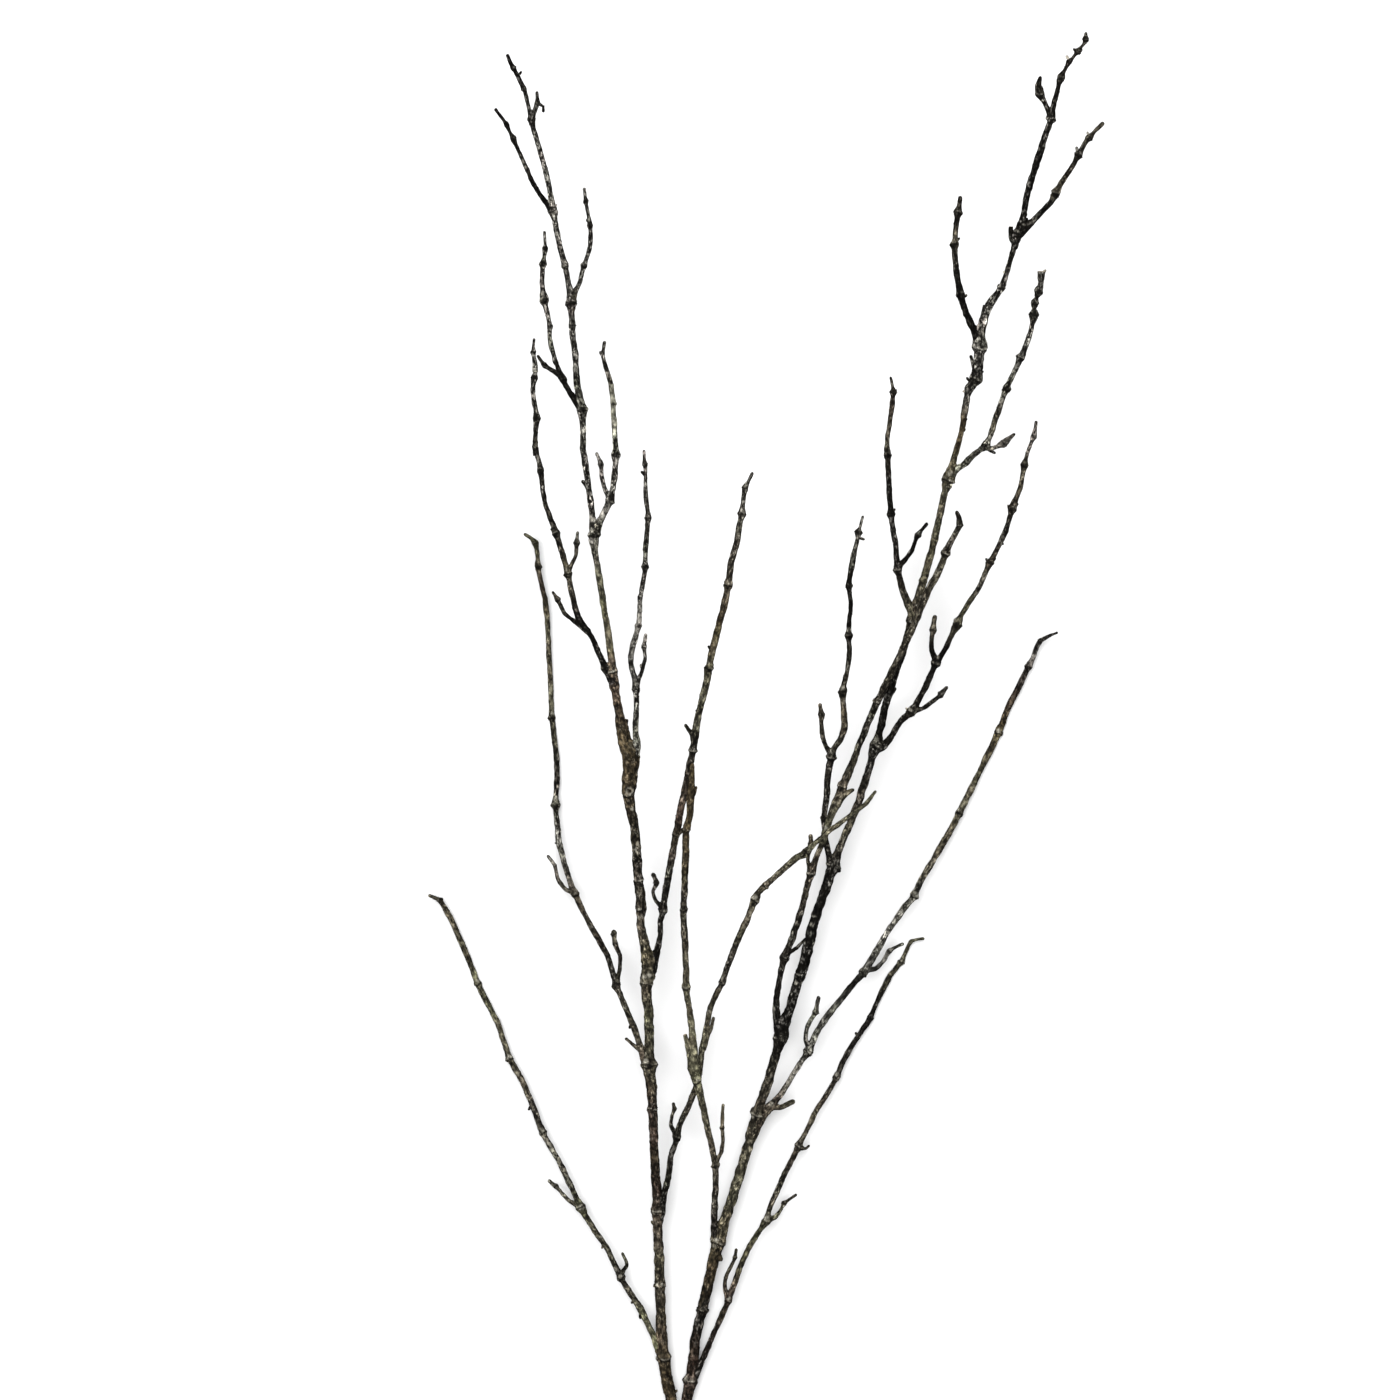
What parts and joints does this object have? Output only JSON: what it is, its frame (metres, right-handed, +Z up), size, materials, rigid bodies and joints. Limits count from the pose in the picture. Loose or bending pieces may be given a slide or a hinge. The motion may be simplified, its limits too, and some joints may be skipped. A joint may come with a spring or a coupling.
{
  "type": "twig",
  "caption": "Long forked bare twig with knotted side branches and short budded spurs, cut square at its stem, lying on a surface as a decorative branch.",
  "frame": {"origin": "middle of the twig's length and width, on the surface that it lies on", "axes": "+Y from the cut stem to the tips, +Z up from the surface, +X to the right seen from above with the tips away"},
  "size_m": [0.5285, 1.1682, 0.139],
  "materials": {
    "stem_bark": "matt brown bark",
    "left_limb_bark": "matt brown bark",
    "right_limb_bark": "matt black-brown bark",
    "left_branch_1_bark": "matt brown bark",
    "left_branch_2_bark": "matt olive-grey bark",
    "left_branch_3_bark": "matt grey bark",
    "left_branch_4_bark": "matt brown bark",
    "left_branch_5_bark": "matt brown bark",
    "left_branch_6_bark": "matt black-brown bark",
    "left_branch_7_bark": "matt brown bark",
    "left_branch_8_bark": "matt black-brown bark",
    "left_branch_9_bark": "matt brown bark",
    "left_branch_10_bark": "matt black-brown bark",
    "right_branch_1_bark": "matt brown bark",
    "right_branch_2_bark": "matt olive-grey bark",
    "right_branch_3_bark": "matt olive-grey bark",
    "right_branch_4_bark": "matt brown bark",
    "right_branch_5_bark": "matt black-brown bark",
    "right_branch_6_bark": "matt black-brown bark",
    "right_branch_7_bark": "matt black-brown bark",
    "right_branch_8_bark": "matt grey bark",
    "right_branch_9_bark": "matt black-brown bark",
    "right_branch_10_bark": "matt black-brown bark"
  },
  "bodies": {
    "root": {"stem": "stem_bark", "left_limb": "left_limb_bark", "right_limb": "right_limb_bark", "left_branch_1": "left_branch_1_bark", "left_branch_2": "left_branch_2_bark", "left_branch_3": "left_branch_3_bark", "left_branch_4": "left_branch_4_bark", "left_branch_5": "left_branch_5_bark", "left_branch_6": "left_branch_6_bark", "left_branch_7": "left_branch_7_bark", "left_branch_8": "left_branch_8_bark", "left_branch_9": "left_branch_9_bark", "left_branch_10": "left_branch_10_bark", "right_branch_1": "right_branch_1_bark", "right_branch_2": "right_branch_2_bark", "right_branch_3": "right_branch_3_bark", "right_branch_4": "right_branch_4_bark", "right_branch_5": "right_branch_5_bark", "right_branch_6": "right_branch_6_bark", "right_branch_7": "right_branch_7_bark", "right_branch_8": "right_branch_8_bark", "right_branch_9": "right_branch_9_bark", "right_branch_10": "right_branch_10_bark"}
  },
  "joints": []
}
